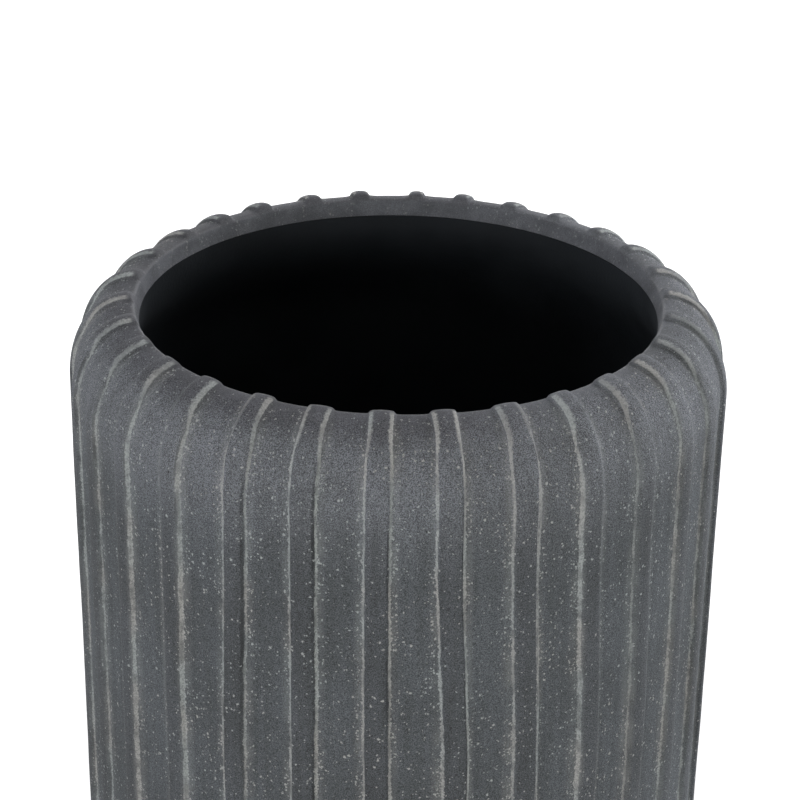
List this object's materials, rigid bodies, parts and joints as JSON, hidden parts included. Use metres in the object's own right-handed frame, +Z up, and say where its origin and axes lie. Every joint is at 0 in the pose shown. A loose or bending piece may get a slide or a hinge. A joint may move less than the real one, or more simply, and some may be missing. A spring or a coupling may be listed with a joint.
{
  "type": "ribbed vase",
  "caption": "Tall straight floor vase with upright ribs, a rounded shoulder, a wide open mouth, a sealed inside, a drain plug and floor pads.",
  "frame": {"origin": "on the floor, under the middle of the vase", "axes": "+Z up along the vase's own axis; -Y is the front, where a rib stands in the middle"},
  "size_m": [0.2992, 0.2998, 0.5],
  "materials": {
    "body": "matte",
    "lining": "satin",
    "plug_rubber": "matte",
    "pad_rubber": "matte"
  },
  "bodies": {
    "vase": {"ribbed_body": "body", "inner_lining": "lining", "foot_pad_1": "pad_rubber", "foot_pad_2": "pad_rubber", "foot_pad_3": "pad_rubber", "foot_pad_4": "pad_rubber"},
    "plug": {"drain_plug": "plug_rubber"}
  },
  "joints": [
    {"name": "plug_lift", "type": "slide", "parent": "vase", "child": "plug", "axis": [0, 0, 1], "range_m": [0, 0.51]}
  ]
}
